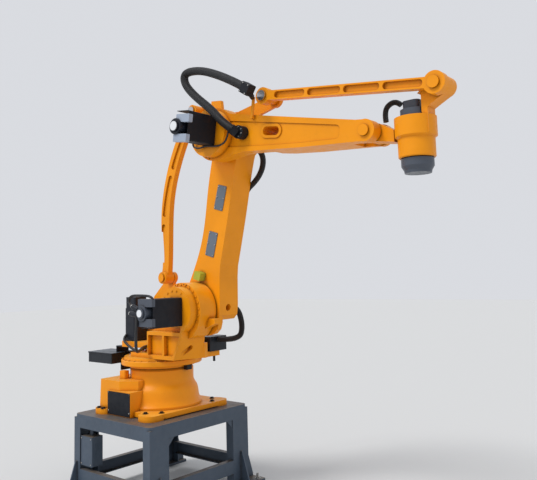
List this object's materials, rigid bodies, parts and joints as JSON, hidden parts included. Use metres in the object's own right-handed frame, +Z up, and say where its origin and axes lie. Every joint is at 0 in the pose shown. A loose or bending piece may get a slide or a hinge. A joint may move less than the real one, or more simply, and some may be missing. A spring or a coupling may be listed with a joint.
{
  "type": "parallel-link palletizing robot arm",
  "caption": "Parallel-link palletizing robot arm on a welded channel stand: turning base, leaning lower arm, curved rear link, long upper arm with levelling rod, and hanging tool flange.",
  "frame": {"origin": "floor level on the turning axis, at the centre of the four floor anchors", "axes": "+Z up, +X from the turning axis along the arm towards the tool flange, +Y away from the side that carries the motors"},
  "size_m": [3.2783, 1.205, 3.1982],
  "materials": {
    "stand_paint": "satin, dusty",
    "orange_paint": "semi-gloss",
    "motor_black": "satin",
    "guard_black": "matt",
    "flange_grey": "satin",
    "light_grey": "satin",
    "tray_black": "satin",
    "pin_steel": "polished",
    "hose_black": "matt",
    "bumper_yellow": "satin",
    "cover_grey": "satin"
  },
  "bodies": {
    "base": {"stand_top_plate": "stand_paint", "stand_legs": "stand_paint", "stand_upper_rails": "stand_paint", "stand_lower_rails": "stand_paint", "stand_foot_plates": "stand_paint", "stand_gussets": "stand_paint", "stand_junction_box": "stand_paint", "base_casting": "orange_paint", "base_connector_cover": "guard_black", "base_stop_stub": "orange_paint"},
    "turret": {"turret_casting": "orange_paint", "axis1_motor": "motor_black", "axis2_motor_guard": "guard_black", "axis2_motor": "flange_grey", "rear_cable_tray": "tray_black", "front_cable_box": "tray_black", "front_hose": "hose_black"},
    "lower_arm": {"lower_arm_casting": "orange_paint", "lower_arm_covers": "cover_grey", "lower_arm_bumper": "bumper_yellow", "lower_arm_hose": "hose_black"},
    "curved_link": {"curved_link": "orange_paint"},
    "rocker": {"rocker_plate": "orange_paint", "rocker_pins": "pin_steel"},
    "upper_arm": {"upper_arm_casting": "orange_paint", "axis3_motor_guard": "guard_black", "axis3_motor_flange": "light_grey", "axis3_motor": "motor_black", "dress_hose": "hose_black", "hose_clamps": "guard_black", "hose_post": "orange_paint"},
    "upper_rod": {"upper_rod": "orange_paint"},
    "wrist": {"wrist_housing": "orange_paint", "wrist_motor": "flange_grey", "wrist_hose": "hose_black"},
    "tool_flange": {"tool_flange": "flange_grey"}
  },
  "joints": [
    {"name": "axis1_turn", "type": "hinge", "parent": "base", "child": "turret", "pos_m": [0, 0, 0.951], "axis": [0, 0, 1], "range_deg": [-90, 270]},
    {"name": "axis2_lower_arm", "type": "hinge", "parent": "turret", "child": "lower_arm", "pos_m": [0.424, 0, 1.403], "axis": [0, 1, 0], "range_deg": [-20, 50]},
    {"name": "rocker_pivot", "type": "hinge", "parent": "lower_arm", "child": "rocker", "pos_m": [0.79792, 0, 2.70018], "axis": [0, 1, 0], "range_deg": [-50, 20]},
    {"name": "axis3_upper_arm", "type": "hinge", "parent": "rocker", "child": "upper_arm", "pos_m": [0.79792, 0, 2.70018], "axis": [0, 1, 0], "range_deg": [-10, 40]},
    {"name": "upper_rod_pivot", "type": "hinge", "parent": "rocker", "child": "upper_rod", "pos_m": [1.26492, -0.11, 2.90268], "axis": [0, 1, 0], "range_deg": [-10, 40]},
    {"name": "wrist_pivot", "type": "hinge", "parent": "upper_arm", "child": "wrist", "pos_m": [2.0844, 0, 2.51319], "axis": [0, 1, 0], "range_deg": [-40, 10]},
    {"name": "axis4_flange", "type": "hinge", "parent": "wrist", "child": "tool_flange", "pos_m": [2.3544, 0, 2.31519], "axis": [0, 0, 1], "range_deg": [-360, 360]},
    {"name": "curved_link_pivot", "type": "hinge", "parent": "turret", "child": "curved_link", "pos_m": [0.126, -0.07, 1.65], "axis": [0, 1, 0], "range_deg": [-20, 50]}
  ],
  "couplings": [
    {"joint": "rocker_pivot", "follows": "axis2_lower_arm", "ratio": -1},
    {"joint": "curved_link_pivot", "follows": "axis2_lower_arm", "ratio": 1},
    {"joint": "upper_rod_pivot", "follows": "axis3_upper_arm", "ratio": 1},
    {"joint": "wrist_pivot", "follows": "axis3_upper_arm", "ratio": -1}
  ]
}
